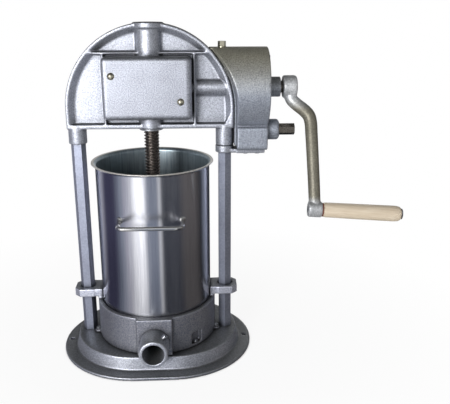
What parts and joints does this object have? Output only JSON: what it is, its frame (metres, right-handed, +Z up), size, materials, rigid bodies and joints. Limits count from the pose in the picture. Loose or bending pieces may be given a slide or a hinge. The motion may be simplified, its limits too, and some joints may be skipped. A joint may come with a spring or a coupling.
{
  "type": "vertical sausage stuffer",
  "caption": "Hand-cranked vertical sausage stuffer: oval cast base, lift-out steel cylinder, hexagon columns, arched gear head with side gearbox, screw-driven piston and front outlet pipe.",
  "frame": {"origin": "on the underside of the base, under the axis of the cylinder and lead screw", "axes": "+Z up along the lead screw, +X towards the gearbox and crank, -Y towards the outlet"},
  "size_m": [0.6554, 0.325, 0.638],
  "materials": {
    "silver_paint": "cast aluminium under silver-grey hammered paint",
    "column_paint": "hexagon steel bar under silver-grey paint",
    "stainless": "polished stainless steel",
    "bare_aluminium": "turned aluminium",
    "bright_steel": "turned or plated steel",
    "oiled_steel": "cut steel with a film of dark grease",
    "bronze": "machined bronze",
    "brass_plated": "pale brass",
    "rubber": "moulded, matt",
    "beech": "sanded beech, clear oil",
    "fibre": "hard fibre"
  },
  "bodies": {
    "frame": {"base_plate": "silver_paint", "seat_cup": "silver_paint", "seat_gasket": "rubber", "seat_screws": "bright_steel", "outlet_pipe": "silver_paint", "outlet_pin": "bright_steel", "left_column": "column_paint", "right_column": "column_paint", "column_nuts": "bright_steel", "column_washers": "bright_steel", "column_set_screws": "bright_steel", "head_casting": "silver_paint", "gear_case_cover": "silver_paint", "cover_screws": "brass_plated", "lower_bearing": "bright_steel", "upper_bush": "bronze", "thrust_washer": "bronze", "guide_bush": "bronze", "guide_key": "bright_steel", "case_bush": "bronze", "drive_inner_bush": "bronze", "drive_outer_bush": "bronze", "slow_inner_bush": "bronze", "slow_outer_bush": "bronze", "gearbox_housing": "silver_paint", "gearbox_cover": "silver_paint", "gearbox_screws": "bright_steel", "gearbox_bolt": "brass_plated", "gearbox_bolt_washer": "brass_plated", "support_plate": "silver_paint", "support_screws": "bright_steel"},
    "drive": {"drive_shaft": "bright_steel", "spur_gear": "oiled_steel", "spur_key": "bright_steel", "bevel_pinion": "oiled_steel", "pinion_pin": "bright_steel"},
    "slow": {"slow_shaft": "bright_steel", "slow_pinion": "oiled_steel", "slow_key": "bright_steel"},
    "nut": {"lead_nut": "bronze", "bevel_gear": "oiled_steel", "nut_key": "bright_steel"},
    "piston": {"lead_screw": "oiled_steel", "piston_plate": "bare_aluminium", "piston_seal": "rubber", "piston_nut": "bright_steel", "air_valve": "stainless"},
    "cylinder": {"cylinder": "stainless", "cylinder_handle": "stainless"},
    "crank": {"crank_arm": "silver_paint", "grip_spindle": "bright_steel", "grip_washer": "fibre", "grip_cap": "bright_steel"},
    "grip": {"grip": "beech"}
  },
  "joints": [
    {"name": "drive_turn", "type": "hinge", "parent": "frame", "child": "drive", "pos_m": [0.2, 0, 0.5215], "axis": [1, 0, 0], "range_deg": [0, 9600]},
    {"name": "nut_turn", "type": "hinge", "parent": "frame", "child": "nut", "pos_m": [0, 0, 0.52], "axis": [0, 0, 1], "range_deg": [-9601, 0]},
    {"name": "screw_lift", "type": "slide", "parent": "frame", "child": "piston", "axis": [0, 0, 1], "range_m": [0, 0.3201]},
    {"name": "slow_turn", "type": "hinge", "parent": "frame", "child": "slow", "pos_m": [0.2, 0, 0.4415], "axis": [1, 0, 0], "range_deg": [-33070, 0]},
    {"name": "crank_pull", "type": "slide", "parent": "drive", "child": "crank", "axis": [1, 0, 0], "range_m": [0, 0.029]},
    {"name": "grip_spin", "type": "hinge", "parent": "crank", "child": "grip", "pos_m": [0.30151, -0.07866, 0.30537], "axis": [0.9976, -0.0239, -0.0655], "continuous": true},
    {"name": "cylinder_lift", "type": "slide", "parent": "frame", "child": "cylinder", "axis": [0, 0, 1], "range_m": [0, 0.022]}
  ],
  "couplings": [
    {"joint": "nut_turn", "follows": "drive_turn", "ratio": -1},
    {"joint": "screw_lift", "follows": "drive_turn", "m_per_rad": 0.0019099},
    {"joint": "slow_turn", "follows": "drive_turn", "ratio": -3.4444}
  ]
}
